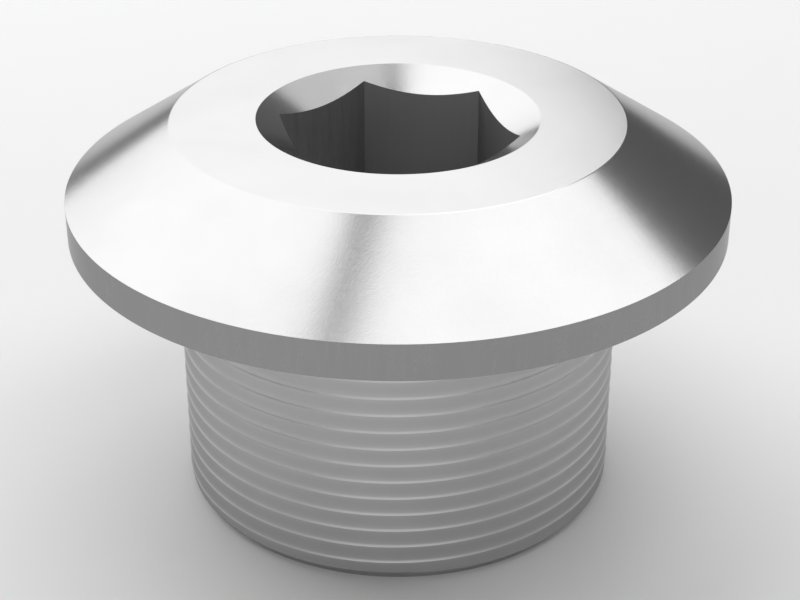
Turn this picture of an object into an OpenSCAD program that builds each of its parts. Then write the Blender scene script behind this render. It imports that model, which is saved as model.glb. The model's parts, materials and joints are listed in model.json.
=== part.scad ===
// Conduit plug: a screwed plug that closes an unused threaded conduit entry.
// It is turned from one bar of steel, and its hexagon socket is driven with a key.
// The plug stands on the end of its shank: Z = 0 is the end face, and Z is the thread's axis.
// The X axis runs through a corner of the hexagon socket.
// The shank is drawn at the thread's outer diameter, without the thread's fine turns.

/* [Head] */
// Diameter of the head over its rim
head_d = 53.1; // [46:0.1:64]
// Height of the rim, the upright band round the widest part of the head
rim_h = 2.9; // [1.5:0.1:6]
// Height of the cone between the rim and the flat top
cone_h = 5.6; // [3:0.1:9]
// Diameter of the flat top
top_d = 36.1; // [29:0.1:44]

/* [Socket] */
// Width of the hexagon across its flats, which is the size of its key
socket_af = 17; // [10:1:19]
// Depth of the hexagon's walls below the flat top
socket_depth = 12; // [7:0.5:13]
// How far the countersink reaches out past the hexagon's corners
countersink_land = 1.45; // [0.5:0.05:2.5]
// Angle of the countersink from wall to wall
countersink_angle = 120; // [90:1:130]
// Angle of the drill point in the socket's floor
drill_point_angle = 118; // [110:1:135]

/* [Shank] */
// Outer diameter of the thread
thread_d = 36; // [30:1:42]
// Pitch of the thread, which sets the lead-in chamfer and the relief groove
thread_pitch = 1.5; // [1:0.5:2]
// Length of the shank from the seat under the head to its end face
shank_l = 23.8; // [18:0.1:40]

/* [Hidden] */
$fn = 144;

steel_grey = [0.66, 0.66, 0.67];

head_r = head_d / 2;
top_r = top_d / 2;
thread_r = thread_d / 2;

seat_z = shank_l;
cone_z = seat_z + rim_h;
top_z = cone_z + cone_h;

// The chamfer runs in a little further along the shank than across it.
chamfer_in = 0.53 * thread_pitch;
chamfer_up = 0.67 * thread_pitch;

// The relief groove lets the threading tool run out and the plug screw home on its seat.
relief_in = 0.77 * thread_pitch;
relief_w = 2.5 * thread_pitch;
relief_fillet = 0.5 * thread_pitch;
relief_flank_angle = 30;
relief_flank_h = relief_in / tan(relief_flank_angle);
relief_r = thread_r - relief_in;

hex_r = socket_af / 2 / cos(30);
hex_floor_z = top_z - socket_depth;
countersink_r = hex_r + countersink_land;
countersink_slope = 1 / tan(countersink_angle / 2);
drill_r = 0.96 * socket_af / 2;
drill_point_h = drill_r / tan(drill_point_angle / 2);

// Cutting tools run this far past the face that they enter.
overrun = 1;

// Half section of the plug as it comes off the lathe, before the relief groove and the socket
module turned_profile() {
    polygon([
        [0, 0],
        [thread_r - chamfer_in, 0],
        [thread_r, chamfer_up],
        [thread_r, seat_z],
        [head_r, seat_z],
        [head_r, cone_z],
        [top_r, top_z],
        [0, top_z]
    ]);
}

// Half section of the relief groove: a fillet against the seat and a sloping run-out flank
module relief_profile() {
    fillet_r = relief_r + relief_fillet;
    fillet_z = seat_z - relief_fillet;
    polygon([
        [relief_r, seat_z - relief_w + relief_flank_h],
        [thread_r, seat_z - relief_w],
        [thread_r + overrun, seat_z - relief_w],
        [thread_r + overrun, seat_z],
        [fillet_r, seat_z],
        [fillet_r, fillet_z],
        [relief_r, fillet_z]
    ]);
    intersection() {
        translate([fillet_r, fillet_z])
            circle(relief_fillet);
        translate([relief_r, fillet_z])
            square(relief_fillet);
    }
}

// The bar turned to its outline
module turned_blank() {
    rotate_extrude()
        difference() {
            turned_profile();
            relief_profile();
        }
}

// Hexagon with straight walls, its corners on the X axis
module hexagon_hole() {
    translate([0, 0, hex_floor_z])
        cylinder(r = hex_r, h = socket_depth + overrun, $fn = 6);
}

// Cone that opens the hexagon's mouth, so that its walls end in arched edges
module countersink() {
    countersink_h = countersink_r * countersink_slope;
    translate([0, 0, top_z - countersink_h])
        cylinder(r1 = 0, r2 = countersink_r + overrun / countersink_slope, h = countersink_h + overrun);
}

// Conical floor left by the drill that opened the hole before the hexagon was cut
module drill_point() {
    translate([0, 0, hex_floor_z - drill_point_h])
        cylinder(r1 = 0, r2 = drill_r, h = drill_point_h);
}

module plug_body() {
    color(steel_grey)
        difference() {
            turned_blank();
            hexagon_hole();
            countersink();
            drill_point();
        }
}

plug_body();
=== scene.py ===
# %% [markdown]
# # A screwed conduit plug in turned steel
#
# The object is one solid piece. A bar of steel was turned to a round head with a conical top and a
# straight shank, a hexagon hole was cut into the head for a key, and a fine thread was cut on the
# shank. Somebody who models it in Blender can follow the same order: turn, cut the socket, cut the
# thread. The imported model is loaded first, because every size and place comes from it.

import json
import math

import bmesh
import bpy
from mathutils import Matrix, Vector


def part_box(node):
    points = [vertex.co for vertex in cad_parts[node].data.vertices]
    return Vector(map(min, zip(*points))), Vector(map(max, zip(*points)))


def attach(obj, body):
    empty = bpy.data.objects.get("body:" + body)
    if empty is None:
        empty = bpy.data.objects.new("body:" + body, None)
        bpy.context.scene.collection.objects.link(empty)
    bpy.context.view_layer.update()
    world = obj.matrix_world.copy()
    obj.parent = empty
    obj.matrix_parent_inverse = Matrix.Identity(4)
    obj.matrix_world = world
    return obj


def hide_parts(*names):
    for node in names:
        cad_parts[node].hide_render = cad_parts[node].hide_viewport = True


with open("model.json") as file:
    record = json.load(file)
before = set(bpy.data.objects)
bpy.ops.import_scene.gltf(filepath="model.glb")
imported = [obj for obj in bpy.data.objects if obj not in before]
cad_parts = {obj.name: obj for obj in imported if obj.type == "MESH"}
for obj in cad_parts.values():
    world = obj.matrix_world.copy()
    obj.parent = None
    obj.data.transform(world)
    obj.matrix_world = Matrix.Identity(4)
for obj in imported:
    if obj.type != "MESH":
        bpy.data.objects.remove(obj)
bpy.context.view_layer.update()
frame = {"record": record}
mm = 0.001

# %% [markdown]
# ## The sizes that everything is worked out from
#
# The head's radius and the height of its top come from the box of the plain model. The thread's
# radius and the height of the seat under the head are in its list of mounts. The rest are the few
# sizes that a turner would read off the drawing, and they could be typed in where they are used. As
# names at the top they are each written once, and two parts of the plug can't disagree.

# %% Sizes of the head
node_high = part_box("plug_body")[1]
mounts = {mount["name"]: mount for mount in frame["record"]["mounts"]}
head_r = node_high.x
top_z = node_high.z
seat_z = mounts["seat"]["pos_m"][2]

rim_h = 2.9 * mm
cone_z = seat_z + rim_h
top_r = 18.05 * mm
print("head radius", round(head_r / mm, 3), "mm, seat at", round(seat_z / mm, 3), "mm")

# %% Sizes of the socket
sixth_turn = math.radians(60)
key_width = 17 * mm
hex_r = key_width / 2 / math.cos(sixth_turn / 2)
hex_depth = 12 * mm
hex_floor_z = top_z - hex_depth

countersink_r = hex_r + 1.45 * mm
countersink_half_angle = math.radians(60)
countersink_slope = 1 / math.tan(countersink_half_angle)

drill_r = 0.96 * key_width / 2
drill_half_angle = math.radians(59)
drill_point_h = drill_r / math.tan(drill_half_angle)
print("hexagon", round(key_width / mm, 1), "mm, mouth radius", round(countersink_r / mm, 2), "mm")

# %% Sizes of the shank
thread_r = mounts["thread"]["dims"]["r_mm"] * mm
pitch = 1.5 * mm
chamfer_in = 0.53 * pitch
chamfer_up = 0.67 * pitch

relief_in = 0.77 * pitch
relief_w = 2.5 * pitch
relief_r = thread_r - relief_in
relief_fillet = 0.5 * pitch
relief_half_angle = math.radians(30)
flank_low_z = seat_z - relief_w
flank_high_z = flank_low_z + relief_in / math.tan(relief_half_angle)
print("thread radius", round(thread_r / mm, 2), "mm, groove radius", round(relief_r / mm, 2), "mm")

# %% [markdown]
# ## Turning the head
#
# Everything on the head apart from the socket is round, so half of its outline is enough. It could
# be drawn as a curve with a Screw modifier. Here the outline is a chain of edges, and the spin
# operator turns it once round the upright axis and welds the last copy to the first. The number of
# steps is a multiple of six, so that the corners of the hexagon fall on a step later on.

# %% Spin the head
steps = 192
full_turn = 2 * math.pi
up = Vector((0, 0, 1))
origin = Vector((0, 0, 0))


def chain(mesh, outline):
    """Joins (radius, height) points with edges, in the plane of X and Z."""
    points = [mesh.verts.new((radius, 0, height)) for radius, height in outline]
    return points, [mesh.edges.new(pair) for pair in zip(points, points[1:])]


body = bmesh.new()
seat_join_r = thread_r + 1 * mm
head_points, head_edges = chain(body, [
    (seat_join_r, seat_z),
    (head_r, seat_z),
    (head_r, cone_z),
    (top_r, top_z),
    (countersink_r, top_z),
])
bmesh.ops.spin(
    body, geom=head_points + head_edges, cent=origin, axis=up, angle=full_turn, steps=steps,
    use_merge=True
)
print("turned head:", len(body.faces), "faces")

# %% [markdown]
# ## Breaking the top edge
#
# A turner takes the sharpness off the edge between the cone and the flat top with a touch of the
# tool. It is too small to see as a shape, but it draws the thin grey line behind the flat top. A
# Bevel modifier would take every edge at once. The bevel operator takes just this ring of edges.

# %% Break the top edge
edge_break = 0.05 * mm
same_place = 0.001 * mm


def on_top_edge(vert):
    return abs(vert.co.z - top_z) < same_place and abs(vert.co.to_2d().length - top_r) < same_place


top_ring = [edge for edge in body.edges if all(on_top_edge(vert) for vert in edge.verts)]
bmesh.ops.bevel(
    body, geom=top_ring, offset=edge_break, offset_type="OFFSET", segments=1, profile=0.5,
    affect="EDGES", material=-1
)
print("edges broken:", len(top_ring))

# %% [markdown]
# ## Cutting the hexagon socket
#
# The key fits a straight hexagon, and a countersink opens its mouth. Where the sloping countersink
# meets the flat walls, each wall ends in an arch. A Boolean would cut it. Here the open edge of the
# flat top is extruded, and its new points are drawn in to the hexagon and down the slope, which
# gives clean faces and puts every arch exactly on the cone.

# %% Helpers that grow a mesh from its open edge
def open_ring(mesh, height, radius):
    """The open edges of the mesh that lie at this height, within this radius."""
    def near(vert):
        return abs(vert.co.z - height) < same_place and vert.co.to_2d().length < radius + same_place

    return [edge for edge in mesh.edges if edge.is_boundary and all(near(vert) for vert in edge.verts)]


def extend(mesh, ring, new_place):
    """Extrudes a ring of edges and sends each new point to new_place(point)."""
    grown = bmesh.ops.extrude_edge_only(mesh, edges=ring)["geom"]
    for vert in [item for item in grown if isinstance(item, bmesh.types.BMVert)]:
        vert.co = new_place(vert.co)
    return [item for item in grown if isinstance(item, bmesh.types.BMEdge)]


def at_radius(point, radius, height):
    """The same direction from the axis, at another radius and height."""
    flat = Vector((point.x, point.y, 0)).normalized() * radius
    return Vector((flat.x, flat.y, height))


def close_at(mesh, ring, height):
    """Draws a ring of edges together into one point on the axis."""
    tip = extend(mesh, ring, lambda point: Vector((0, 0, height)))
    points = dict.fromkeys(vert for edge in tip for vert in edge.verts)
    bmesh.ops.remove_doubles(mesh, verts=list(points), dist=same_place)


mouth = open_ring(body, top_z, countersink_r)
print("open edges round the mouth:", len(mouth))

# %% Countersink and arches
def hexagon_radius(point):
    """Distance from the axis to the hexagon's wall, in this point's direction."""
    from_flat = (math.atan2(point.y, point.x) % sixth_turn) - sixth_turn / 2
    return key_width / 2 / math.cos(from_flat)


def onto_countersink(point):
    radius = hexagon_radius(point)
    return at_radius(point, radius, top_z - (countersink_r - radius) * countersink_slope)


arches = extend(body, mouth, onto_countersink)
corner_drop = (countersink_r - hex_r) * countersink_slope
print("hexagon corners", round(corner_drop / mm, 2), "mm under the flat top")

# %% Walls, ledge and drill point
floor_edge = extend(body, arches, lambda point: Vector((point.x, point.y, hex_floor_z)))
drill_edge = extend(body, floor_edge, lambda point: at_radius(point, drill_r, hex_floor_z))
close_at(body, drill_edge, hex_floor_z - drill_point_h)
print("head with its socket:", len(body.faces), "faces")

# %% [markdown]
# ## Cutting the thread
#
# A thread is one ridge that climbs a pitch with every turn. A Screw modifier could wind it from a
# small outline. Here the ridges are drawn once, as a line up the side of the shank, and the spin
# lifts that line by one pitch on its way round, so each ridge runs into the next one up and no end
# has to be trimmed by hand. Welding the first and last line closes the helix. On this plug the
# grooves are wide and very shallow, so each crest is a narrow line with a soft shoulder above it and
# a small steep step below. The list below goes up one pitch from a crest: first the share of the
# pitch, then the share of the depth.

# %% Outline of the ridges
ridge_depth = 0.08 * mm
ridge = [
    (0, 1), (0.06, 0.55), (0.12, 0.25), (0.2, 0.1), (0.35, 0.02),
    (0.5, 0), (0.75, 0.02), (0.9, 0.06), (0.965, 0.12),
]

# The camera stands this far round from the middle of one of the hexagon's flats.
view_turn = math.radians(12.92)
# On the side that faces the camera, one crest is at this height.
crest_z = 9.47 * mm
facing_camera = view_turn - full_turn / 4

start_below = 1.5 * pitch
first_z = crest_z - pitch * facing_camera / full_turn
while first_z > -start_below:
    first_z -= pitch
turns = math.ceil((flank_high_z - first_z) / pitch) + 1
ridges = [
    (thread_r - ridge_depth * (1 - depth_share), first_z + pitch * (turn + pitch_share))
    for turn in range(turns)
    for pitch_share, depth_share in ridge
]
print("ridges in the line:", turns)

# %% Spin the thread
seam_weld = 0.002 * mm
screw = bmesh.new()
ridge_points, ridge_edges = chain(screw, ridges)
bmesh.ops.spin(
    screw, geom=ridge_points + ridge_edges, cent=origin, axis=up, dvec=up * (pitch / steps),
    angle=full_turn, steps=steps, use_merge=False
)
bmesh.ops.remove_doubles(screw, verts=screw.verts, dist=seam_weld)
print("threaded shank:", turns, "turns,", len(screw.faces), "faces")

# %% [markdown]
# ## Trimming the shank
#
# The helix starts and ends in the air, so it is cut off level at both ends. A chamfer leads it into
# its hole, and under the head a groove lets the threading tool run out. Both are turned, so they
# only limit how far out the metal may reach at each height. A Boolean with a turned shape would do
# the same, but it leaves long thin faces on a helix. Cutting the mesh level at their edges first
# keeps those edges crisp.

# %% Trim to the turned outline
cut_snap = 0.0001 * mm


def level_cut(mesh, height, keep=None):
    """Cuts the mesh level at a height, and clears the part that isn't kept."""
    bmesh.ops.bisect_plane(
        mesh, geom=list(mesh.verts) + list(mesh.edges) + list(mesh.faces), dist=cut_snap,
        plane_co=(0, 0, height), plane_no=up, clear_outer=keep == "below", clear_inner=keep == "above"
    )


def turned_limit(height):
    """How far out the shank may reach at a height."""
    if height < chamfer_up:
        return thread_r - chamfer_in * (1 - height / chamfer_up)
    if height > flank_low_z:
        return thread_r - relief_in * (height - flank_low_z) / (flank_high_z - flank_low_z)
    return thread_r


level_cut(screw, 0, keep="above")
level_cut(screw, chamfer_up)
level_cut(screw, flank_low_z)
level_cut(screw, flank_high_z, keep="below")
for vert in screw.verts:
    limit = turned_limit(vert.co.z)
    if vert.co.to_2d().length > limit:
        vert.co = at_radius(vert.co, limit, vert.co.z)
print("trimmed shank:", len(screw.faces), "faces")

# %% End face, relief groove and fillet
close_at(screw, open_ring(screw, 0, thread_r), 0)

flank_end = open_ring(screw, flank_high_z, thread_r)
groove = extend(screw, flank_end, lambda point: at_radius(point, relief_r, seat_z - relief_fillet))
fillet_steps = 8
for step in range(1, fillet_steps + 1):
    swing = full_turn / 4 * step / fillet_steps
    fillet_r = relief_r + relief_fillet * (1 - math.cos(swing))
    fillet_z = seat_z - relief_fillet * (1 - math.sin(swing))
    groove = extend(screw, groove, lambda point: at_radius(point, fillet_r, fillet_z))
print("shank with its groove:", len(screw.faces), "faces")

# %% [markdown]
# ## Joining head and shank
#
# The shank ends where its small fillet runs into the seat, and the head's seat starts a little
# further out. They could stay two shells, but the real plug is one piece of metal. Bridging the two
# open rings fills the flat ring between them and closes the skin, and one pass of normals turns
# every face outwards.

# %% Join
shank_mesh = bpy.data.meshes.new("shank")
screw.to_mesh(shank_mesh)
screw.free()
body.from_mesh(shank_mesh)
bpy.data.meshes.remove(shank_mesh)

seat_rings = [edge for edge in body.edges if edge.is_boundary]
bmesh.ops.bridge_loops(body, edges=seat_rings)
bmesh.ops.recalc_face_normals(body, faces=body.faces)
print("open edges:", sum(edge.is_boundary for edge in body.edges))

# %% [markdown]
# ## Which tool made each face
#
# The steel is the same all over, but four tools have shaped it, and each leaves its own finish.
# The lathe leaves fine rings, the threading tool leaves ridges with a painted highlight on their
# crests, and the broach that cut the hexagon leaves upright scratches. The rim is still the drawn bar's
# skin.
# The faces could be picked by hand in Edit Mode. Here each face gets the number of its finish by
# where it lies, which still holds when a size changes. Edges sharper than a small angle are marked
# too, so that flats, cones and thread crests stay crisp, while the round walls look smooth.

# %% Sort the faces by their tool
TURNED, THREADED, BROACHED, DRAWN = range(4)
wall_tilt = 0.1
rim_share = 0.99


def tool_of(face):
    """The number of the finish, from where the middle of the face lies."""
    middle = face.calc_center_median()
    reach = middle.to_2d().length
    is_wall = abs(face.normal.z) < wall_tilt
    if reach < hex_r and is_wall:
        return BROACHED
    if chamfer_up < middle.z < flank_low_z and reach > relief_r:
        return THREADED
    if reach > rim_share * head_r and is_wall:
        return DRAWN
    return TURNED


for face in body.faces:
    face.smooth = True
    face.material_index = tool_of(face)
tools = [face.material_index for face in body.faces]
counts = [tools.count(tool) for tool in (TURNED, THREADED, BROACHED, DRAWN)]
print("faces turned, threaded, broached, drawn:", counts)

# %% Mark the crisp edges and make the object
crisp = math.radians(14)
for edge in body.edges:
    edge.smooth = edge.calc_face_angle(0) < crisp

plug_mesh = bpy.data.meshes.new("plug")
body.to_mesh(plug_mesh)
body.free()
plug = bpy.data.objects.new("plug", plug_mesh)
bpy.context.scene.collection.objects.link(plug)
print("crisp edges:", sum(edge.use_edge_sharp for edge in plug_mesh.edges))

# %% [markdown]
# ## Building a material from nodes
#
# A material could be clicked together in the shader editor. In a script, each node takes one call,
# so a few small helpers keep that short: one adds a node and fills its inputs, and the others add
# the kinds of node that come up again and again.

# %% Node helpers
def add_node(tree, kind, inputs=None, **settings):
    """Adds a node. An input is given a plain value, or the socket to link to it."""
    node = tree.nodes.new(kind)
    for name, value in settings.items():
        setattr(node, name, value)
    for name, value in (inputs or {}).items():
        if isinstance(value, bpy.types.NodeSocket):
            tree.links.new(value, node.inputs[name])
        else:
            node.inputs[name].default_value = value
    return node


def sum_of(tree, operation, *values):
    """Adds a Math node and returns its result."""
    return add_node(tree, "ShaderNodeMath", dict(enumerate(values)), operation=operation).outputs[0]


def vector_node(tree, operation, *values):
    """Adds a Vector Math node. Its result is in its Vector or its Value output."""
    return add_node(tree, "ShaderNodeVectorMath", dict(enumerate(values)), operation=operation)


def scaled(tree, value, low, high, from_low=0.0, from_high=1.0, ease="LINEAR"):
    """Sends a value from one range to another, and stops it at the ends."""
    inputs = {"Value": value, "From Min": from_low, "From Max": from_high, "To Min": low, "To Max": high}
    return add_node(tree, "ShaderNodeMapRange", inputs, interpolation_type=ease).outputs["Result"]


print("node helpers:", [helper.__name__ for helper in (add_node, sum_of, vector_node, scaled)])

# %% Places and noise
def object_place(tree):
    """Adds Texture Coordinate and returns the place on the object, in metres."""
    return add_node(tree, "ShaderNodeTexCoord").outputs["Object"]


def noise(tree, place, scale, detail=2.0):
    """Adds Noise and returns its strength, which stays mostly within noise_range."""
    return add_node(
        tree, "ShaderNodeTexNoise", {"Vector": place, "Scale": scale, "Detail": detail}
    ).outputs["Fac"]


noise_range = {"from_low": 0.3, "from_high": 0.7}
per_metre = 1 / mm
print("most noise lies between", noise_range["from_low"], "and", noise_range["from_high"])

# %% [markdown]
# ## Rings left by the lathe
#
# A lathe tool moves a little with every turn, so it leaves rings round the axis. They could be a
# Wave texture, but its rings are all alike. They follow the radius on a flat and the height on an
# upright wall, and radius less height covers both, and the cones too. Noise along that one measure
# gives rings of uneven strength. A little of the direction round the axis is mixed in, so a ring
# fades in and out on its way round, as a real one does. More than one finish uses them, so they are
# a node group.

# %% Start a node group
def new_group(name, inputs, outputs):
    """Starts a node group, and returns its tree with its input and output nodes."""
    tree = bpy.data.node_groups.new(name, "ShaderNodeTree")
    for title, value in inputs.items():
        socket = tree.interface.new_socket(title, in_out="INPUT", socket_type="NodeSocketFloat")
        socket.default_value = value
    for title in outputs:
        tree.interface.new_socket(title, in_out="OUTPUT", socket_type="NodeSocketFloat")
    return tree, tree.nodes.new("NodeGroupInput"), tree.nodes.new("NodeGroupOutput")


usual_rings = 5.0
rings_tree, rings_in, rings_out = new_group("lathe_rings", {"Rings per mm": usual_rings}, ["Rings"])
print("group", rings_tree.name, "has", len(rings_tree.interface.items_tree), "sockets")

# %% Group: lathe rings
direction_mixed_in = 1.3
point = object_place(rings_tree)
flat_point = vector_node(rings_tree, "MULTIPLY", point, (1, 1, 0)).outputs["Vector"]
from_axis = vector_node(rings_tree, "LENGTH", flat_point).outputs["Value"]
bearing = vector_node(rings_tree, "NORMALIZE", flat_point).outputs["Vector"]
point_height = add_node(rings_tree, "ShaderNodeSeparateXYZ", {"Vector": point}).outputs["Z"]
along = sum_of(rings_tree, "SUBTRACT", from_axis, point_height)
rings_per_metre = sum_of(rings_tree, "MULTIPLY", rings_in.outputs["Rings per mm"], per_metre)
ring_step = sum_of(rings_tree, "MULTIPLY", along, rings_per_metre)
ring_lift = add_node(rings_tree, "ShaderNodeCombineXYZ", {"Z": ring_step}).outputs["Vector"]
round_axis = vector_node(rings_tree, "MULTIPLY", bearing, (direction_mixed_in, direction_mixed_in, 0))
ring_place = vector_node(rings_tree, "ADD", round_axis.outputs["Vector"], ring_lift)
ring_noise = noise(rings_tree, ring_place.outputs["Vector"], scale=1.0)
rings_tree.links.new(ring_noise, rings_out.inputs["Rings"])
print("group", rings_tree.name, "with", len(rings_tree.nodes), "nodes")

# %% [markdown]
# ## Satin grain and handling
#
# Close up, satin steel has a fine grain that breaks up the edge of every reflection, and larger
# soft clouds where hands and packing have dulled it a little. An image of brushed metal could show
# both, but it would need a flat layout of the plug. Noise in the plug's own space needs none. Every
# finish has grain, so grain and clouds are one group, and its input says how fine the grain is.

# %% Group: satin grain
usual_grains = 8.0
cloud_scale = 160.0
grain_tree, grain_in, grain_out = new_group(
    "satin_grain", {"Grains per mm": usual_grains}, ["Grain", "Clouds"]
)
grain_place = object_place(grain_tree)
grain_scale = sum_of(grain_tree, "MULTIPLY", grain_in.outputs["Grains per mm"], per_metre)
grain_tree.links.new(noise(grain_tree, grain_place, grain_scale), grain_out.inputs["Grain"])
grain_tree.links.new(noise(grain_tree, grain_place, cloud_scale, detail=3.0), grain_out.inputs["Clouds"])
print("group", grain_tree.name, "with", len(grain_tree.nodes), "nodes")

# %% [markdown]
# ## Upright lines
#
# Two tools leave lines that run straight up the plug: the broach in the socket, and the hard block
# that the bar was drawn through. They could be cut as tiny grooves, but they are far too fine for a
# mesh. When the height is squeezed before noise reads it, each grain of the noise comes out long
# and thin. Two finishes have such lines, so they are a group, with how many there are in a
# millimetre and how much the height is squeezed as its inputs.

# %% Group: upright lines
usual_lines = 4.0
usual_squeeze = 0.04
lines_tree, lines_in, lines_out = new_group(
    "upright_lines", {"Lines per mm": usual_lines, "Height squeezed to": usual_squeeze}, ["Lines"]
)
squeeze = add_node(
    lines_tree, "ShaderNodeCombineXYZ", {"X": 1.0, "Y": 1.0, "Z": lines_in.outputs["Height squeezed to"]}
).outputs["Vector"]
squeezed_place = vector_node(lines_tree, "MULTIPLY", object_place(lines_tree), squeeze).outputs["Vector"]
lines_scale = sum_of(lines_tree, "MULTIPLY", lines_in.outputs["Lines per mm"], per_metre)
lines_tree.links.new(noise(lines_tree, squeezed_place, lines_scale), lines_out.inputs["Lines"])
print("group", lines_tree.name, "with", len(lines_tree.nodes), "nodes")

# %% [markdown]
# ## Four finishes of one steel
#
# Every finish is a metal, and a metal's base colour says how much light it mirrors. Steel could be
# one plain grey, but then nothing would show how it was made. So each finish has a pattern from 0
# to 1 that moves its colour between two greys, grain that moves its roughness, and a relief of a
# few thousandths of a millimetre at most, through a Bump node. The greys differ between finishes,
# and part of that is painted light: a painted highlight on the thread's crests, and painted shade
# that darkens the socket and the rim. Steel isn't as bright at a glancing angle as a mirror is, and
# Specular Tint says so. A few functions build what the finishes share.

# %% Steel shared by the finishes
edge_tint = 0.7
MIX_COLOUR_A, MIX_COLOUR_B, MIX_COLOUR_RESULT = 6, 7, 2


def grey(level):
    return (level, level, level, 1)


def start_steel(name):
    """Starts a metal material, and returns it with its shader."""
    material = bpy.data.materials.new(name)
    material.use_nodes = True
    shader = material.node_tree.nodes["Principled BSDF"]
    shader.inputs["Metallic"].default_value = 1.0
    shader.inputs["Specular Tint"].default_value = grey(edge_tint)
    return material, shader


def between_greys(tree, tone, greys):
    """Moves between two greys with a tone from 0 to 1."""
    colour = add_node(tree, "ShaderNodeMix", {0: tone}, data_type="RGBA")
    colour.inputs[MIX_COLOUR_A].default_value = grey(greys[0])
    colour.inputs[MIX_COLOUR_B].default_value = grey(greys[1])
    return colour.outputs[MIX_COLOUR_RESULT]


def finish_steel(tree, shader, tone, greys, dullness, relief, relief_height):
    """Feeds a tone between two greys, a roughness and a relief into the shader."""
    tree.links.new(between_greys(tree, tone, greys), shader.inputs["Base Color"])
    tree.links.new(dullness, shader.inputs["Roughness"])
    bump = add_node(tree, "ShaderNodeBump", {"Height": relief, "Strength": 1.0, "Distance": relief_height})
    tree.links.new(bump.outputs["Normal"], shader.inputs["Normal"])


print("steel at a glancing angle:", edge_tint)

# %% Marks shared by the finishes
def lathe_rings(tree, rings_per_mm):
    group = add_node(tree, "ShaderNodeGroup", node_tree=rings_tree)
    group.inputs["Rings per mm"].default_value = rings_per_mm
    return group.outputs["Rings"]


def satin_grain(tree, grains_per_mm):
    group = add_node(tree, "ShaderNodeGroup", node_tree=grain_tree)
    group.inputs["Grains per mm"].default_value = grains_per_mm
    return group.outputs


def upright_lines(tree, lines_per_mm, squeezed_to):
    group = add_node(tree, "ShaderNodeGroup", node_tree=lines_tree)
    group.inputs["Lines per mm"].default_value = lines_per_mm
    group.inputs["Height squeezed to"].default_value = squeezed_to
    return group.outputs["Lines"]


print("groups for the marks:", [tree.name for tree in (rings_tree, grain_tree, lines_tree)])

# %% [markdown]
# ### The turned finish
#
# The flat top, the cone and the countersink come straight from the lathe. They could be a mirror
# with a little roughness. Fine grain with faint rings in it, in roughness and relief alike, gives
# their reflections the slightly ragged edge that satin metal has.

# %% Turned finish
turned, shader = start_steel("turned_steel_finish")
tree = turned.node_tree
grain = satin_grain(tree, grains_per_mm=7.0)
rings = lathe_rings(tree, rings_per_mm=5.0)
turned_ring_share = 0.25
turned_marks = sum_of(tree, "MULTIPLY_ADD", rings, turned_ring_share, grain["Grain"])
finish_steel(
    tree, shader,
    tone=scaled(tree, grain["Clouds"], low=0.0, high=1.0, **noise_range), greys=(0.515, 0.54),
    dullness=scaled(tree, turned_marks, low=0.18, high=0.22, from_low=0.4, from_high=0.85),
    relief=turned_marks, relief_height=0.0028 * mm
)
print("material", turned.name)

# %% [markdown]
# ### The threaded finish
#
# The threading tool leaves ridges, and each crest carries a painted highlight: the colour is lighter
# in a thin band along it and a little lighter on the slopes near it. The crests could be picked out
# by the sharpness of their edges, but that needs a very fine mesh. The helix is known, so it is
# worked out instead. The thread climbs one pitch a turn, so height over pitch, less the share of a
# turn round the axis, is a whole number on every crest. A Ping-Pong node turns that into the
# distance from the nearest crest, in pitches. The painted highlight lies on the shoulder, just above
# the edge.

# %% Distance from a crest
threaded, shader = start_steel("threaded_steel_and_painted_highlight")
tree = threaded.node_tree
shoulder = 0.04
axes = add_node(tree, "ShaderNodeSeparateXYZ", {"Vector": object_place(tree)})
angle_round = sum_of(tree, "ARCTAN2", axes.outputs["Y"], axes.outputs["X"])
turn_share = sum_of(tree, "DIVIDE", angle_round, full_turn)
climb = sum_of(tree, "DIVIDE", sum_of(tree, "SUBTRACT", axes.outputs["Z"], first_z), pitch)
on_ridge = sum_of(tree, "SUBTRACT", sum_of(tree, "SUBTRACT", climb, turn_share), shoulder)
half_pitch = 0.5
from_crest = sum_of(tree, "PINGPONG", on_ridge, half_pitch)
print("bright band", round(shoulder * pitch / mm, 3), "mm above the crest's edge")

# %% Threaded finish
grain = satin_grain(tree, grains_per_mm=9.0)
rings = lathe_rings(tree, rings_per_mm=7.0)
thread_ring_share = 0.4
thread_marks = sum_of(tree, "MULTIPLY_ADD", rings, thread_ring_share, grain["Grain"])
# Painted highlight: the colour is lighter in a thin band along each crest, and a little lighter on the
# slopes near it.
painted_crest_highlight = scaled(tree, from_crest, low=0.7, high=0.0, from_low=0.03, from_high=0.12, ease="SMOOTHSTEP")
painted_slope_highlight = scaled(tree, from_crest, low=0.3, high=0.0, from_low=0.05, from_high=0.4, ease="SMOOTHSTEP")
cloud_tone = scaled(tree, grain["Clouds"], low=-0.1, high=0.1, **noise_range)
painted_ridge_highlight = sum_of(tree, "ADD", painted_crest_highlight, painted_slope_highlight)
finish_steel(
    tree, shader,
    tone=sum_of(tree, "ADD", painted_ridge_highlight, cloud_tone), greys=(0.475, 0.62),
    dullness=scaled(tree, thread_marks, low=0.4, high=0.46, from_low=0.4, from_high=1.0),
    relief=thread_marks, relief_height=0.0002 * mm
)
print("material", threaded.name)

# %% [markdown]
# ### The broached finish
#
# The broach is pushed straight down the socket, so its scratches run upright. An image of scratches
# could be laid on each wall, but the six walls would then look alike. The group of upright lines
# runs on round the corners, and here it moves colour, roughness and relief together. Its greys are
# darker than a turned face's, and that darkness is painted shade inside the socket.

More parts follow.
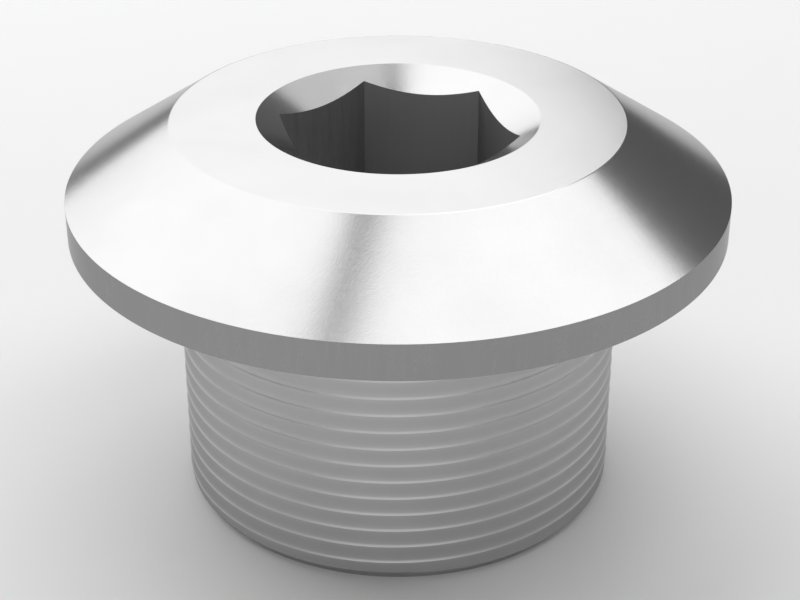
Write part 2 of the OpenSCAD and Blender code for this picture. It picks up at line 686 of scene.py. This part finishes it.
# %% Broached finish
broached, shader = start_steel("broached_steel_and_painted_shade")
tree = broached.node_tree
scratches = upright_lines(tree, lines_per_mm=4.0, squeezed_to=0.04)
grain = satin_grain(tree, grains_per_mm=9.0)
grain_share = 0.5
broach_marks = sum_of(tree, "MULTIPLY_ADD", grain["Grain"], grain_share, scratches)
finish_steel(
    tree, shader,
    # These greys are darker than the turned faces' greys: painted shade inside the socket.
    tone=scaled(tree, scratches, low=0.0, high=1.0, **noise_range), greys=(0.315, 0.35),
    dullness=scaled(tree, broach_marks, low=0.55, high=0.65, from_low=0.5, from_high=1.0),
    relief=broach_marks, relief_height=0.0015 * mm
)
print("material", broached.name)

# %% [markdown]
# ### The drawn finish
#
# The rim is the outside of the bar, and no tool has touched it. Bar is drawn to size through a hole
# in a hard block, which leaves faint lines along its length. Its greys are darker than a turned
# face's, and that darkness is painted shade. The same group as in the socket draws the lines, wider
# and fainter.

# %% Drawn finish
drawn, shader = start_steel("drawn_steel_and_painted_shade")
tree = drawn.node_tree
draw_lines = upright_lines(tree, lines_per_mm=2.5, squeezed_to=0.1)
grain = satin_grain(tree, grains_per_mm=9.0)
drawn_marks = sum_of(tree, "MULTIPLY_ADD", grain["Grain"], grain_share, draw_lines)
finish_steel(
    tree, shader,
    # These greys are darker than the turned faces' greys: painted shade on the rim.
    tone=scaled(tree, drawn_marks, low=0.0, high=1.0, from_low=0.5, from_high=1.0), greys=(0.303, 0.323),
    dullness=scaled(tree, drawn_marks, low=0.24, high=0.28, from_low=0.5, from_high=1.0),
    relief=drawn_marks, relief_height=0.0001 * mm
)
print("material", drawn.name)

# %% [markdown]
# ### Putting the finishes on
#
# The finishes go on in the order of the numbers that the faces were given. Then the plug takes the
# place of the plain model, whose own mesh stays as it is and gets the turned finish.

# %% Give the plug its finishes
for finish in (turned, threaded, broached, drawn):
    plug_mesh.materials.append(finish)
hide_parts("plug_body")
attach(plug, "root")
for slot in bpy.data.objects["plug_body"].material_slots:
    slot.material = turned
print("finishes on the plug:", [finish.name for finish in plug_mesh.materials])

# %% [markdown]
# ## A pale floor
#
# The plug stands on a wide pale sheet. It could be a curved backdrop, but the camera looks down, so
# a flat disc is enough, and it is so wide that its edge stays out of the picture. Its colour gets
# darker away from the plug, which is painted shade: the rim and the cone mirror the far part of it,
# and a white one would wash out their dark side. A faint mottle keeps it from being one flat colour.

# %% Floor
floor_reach = 3.0
floor_sides = 96
floor_build = bmesh.new()
bmesh.ops.create_circle(floor_build, cap_ends=True, radius=floor_reach, segments=floor_sides)
floor_mesh = bpy.data.meshes.new("floor")
floor_build.to_mesh(floor_mesh)
floor_build.free()
floor = bpy.data.objects.new("floor", floor_mesh)
bpy.context.scene.collection.objects.link(floor)
print("floor, m across:", 2 * floor_reach)

# %% Floor finish
near_grey, far_grey = 0.82, 0.5
fade_start, fade_end = 0.16, 0.7
mottle_scale = 40.0
mottle_share = 0.04

floor_material = bpy.data.materials.new("pale_floor")
floor_material.use_nodes = True
tree = floor_material.node_tree
shader = tree.nodes["Principled BSDF"]
shader.inputs["Roughness"].default_value = 0.9
shader.inputs["Specular IOR Level"].default_value = 0.1
mottle = noise(tree, object_place(tree), mottle_scale)
from_plug = vector_node(tree, "LENGTH", object_place(tree)).outputs["Value"]
# Painted shade: the floor's colour darkens from the near grey to the far grey, away from the plug.
painted_falloff = scaled(
    tree, from_plug, low=0.0, high=1.0, from_low=fade_start, from_high=fade_end, ease="SMOOTHSTEP"
)
painted_falloff_mottled = sum_of(tree, "MULTIPLY_ADD", mottle, mottle_share, painted_falloff)
tree.links.new(between_greys(tree, painted_falloff_mottled, (near_grey, far_grey)), shader.inputs["Base Color"])
floor_mesh.materials.append(floor_material)
print("floor grey from", near_grey, "to", far_grey, "between", fade_start, "and", fade_end, "m")

# %% [markdown]
# ## Soft studio light
#
# Polished metal shows what stands round it, so the lamps are placed for what the plug mirrors. An
# image of a studio could stand round it instead, but a few softboxes give the same reflections and
# can be moved one at a time. Two large ones meet almost overhead, and the dark gap between them is
# the grey streak down the front of the cone. Neither reaches the horizon behind on the right, so
# the cone falls dark there. A smaller and dimmer one next to the right one is what the far left of
# the countersink mirrors. A low one at the front lights the crests of the thread and the floor
# before the plug. Each box is placed by the direction it hangs in, seen from the camera.

# %% Hang a softbox
lamp_centre = Vector((0, 0, 20 * mm))
lamp_distance = 0.45


def from_camera(azimuth, elevation):
    """Direction from the plug. Azimuth 0 is away from the camera, and positive is to the right."""
    across = math.sin(azimuth) * math.cos(elevation)
    away = math.cos(azimuth) * math.cos(elevation)
    return Matrix.Rotation(view_turn, 3, "Z") @ Vector((across, away, math.sin(elevation)))


def softbox(name, azimuth, elevation, roll, slide, size, brightness):
    """Hangs a softbox that faces the plug, slid within its own plane, with its sizes in metres."""
    lamp_data = bpy.data.lights.new(name, "AREA")
    lamp_data.shape = "RECTANGLE"
    lamp_data.size, lamp_data.size_y = size
    lamp_data.energy = math.pi * size[0] * size[1] * brightness
    lamp = bpy.data.objects.new(name, lamp_data)
    bpy.context.scene.collection.objects.link(lamp)
    towards = from_camera(math.radians(azimuth), math.radians(elevation))
    facing = towards.to_track_quat("Z", "Y").to_matrix() @ Matrix.Rotation(math.radians(roll), 3, "Z")
    lamp.rotation_mode = "QUATERNION"
    lamp.rotation_quaternion = facing.to_quaternion()
    lamp.location = lamp_centre + facing @ Vector((*slide, lamp_distance))
    return lamp


print("softboxes hang", lamp_distance, "m from the plug")

# %% Softboxes
left_box = softbox(
    "left_softbox", azimuth=-58, elevation=42, roll=-9.8,
    slide=(-0.28, 0.012), size=(0.877, 0.739), brightness=1.7
)
right_box = softbox(
    "right_softbox", azimuth=102.5, elevation=59, roll=-41.8,
    slide=(-0.051, 0.076), size=(0.729, 0.24), brightness=1.7
)
fill_box = softbox(
    "fill_softbox", azimuth=102.5, elevation=59, roll=-41.8,
    slide=(0.116, 0.312), size=(0.42, 0.187), brightness=0.78
)
front_box = softbox(
    "front_softbox", azimuth=182, elevation=22, roll=0,
    slide=(0, 0), size=(0.55, 0.28), brightness=1.0
)
boxes = (left_box, right_box, fill_box, front_box)
print("softbox heights, m:", [round(box.location.z, 2) for box in boxes])

# %% [markdown]
# ### The room
#
# Where no softbox hangs, the metal mirrors the room. It could be black, but then the dark side of
# the cone would lose its shape. A dim and even grey keeps it. The Standard view shows each colour
# about as it is written.

# %% Room and view
room_light = 0.159
room = bpy.data.worlds.new("room")
room.use_nodes = True
room.node_tree.nodes["Background"].inputs["Color"].default_value = grey(room_light)
bpy.context.scene.world = room
bpy.context.scene.view_settings.view_transform = "Standard"
print("room brightness:", room_light)

# %% [markdown]
# ## The camera
#
# The camera stands close, with a long lens, and looks down on the plug, a little round from the
# middle of one of the hexagon's flats. A Track To constraint could hold it on the plug. Here its
# direction is worked out once, and it aims a hair beside the axis, just under halfway up.

# %% Camera
camera_data = bpy.data.cameras.new("camera")
camera_data.lens = 80.06
camera_data.sensor_width = 36
camera_data.clip_start = 0.01
camera_data.clip_end = 20
camera = bpy.data.objects.new("camera", camera_data)
bpy.context.scene.collection.objects.link(camera)
bpy.context.scene.camera = camera

look_down = math.radians(28.625)
camera_distance = 148.7 * mm
aim = Vector((0, 0, 15.63 * mm))
side_step = 0.146 * mm
sight = from_camera(0, -look_down)
sideways = from_camera(full_turn / 4, 0)
camera.rotation_mode = "QUATERNION"
camera.rotation_quaternion = sight.to_track_quat("-Z", "Y")
camera.location = aim - sight * camera_distance + sideways * side_step
print("camera at, mm:", [round(v / mm, 1) for v in camera.location])
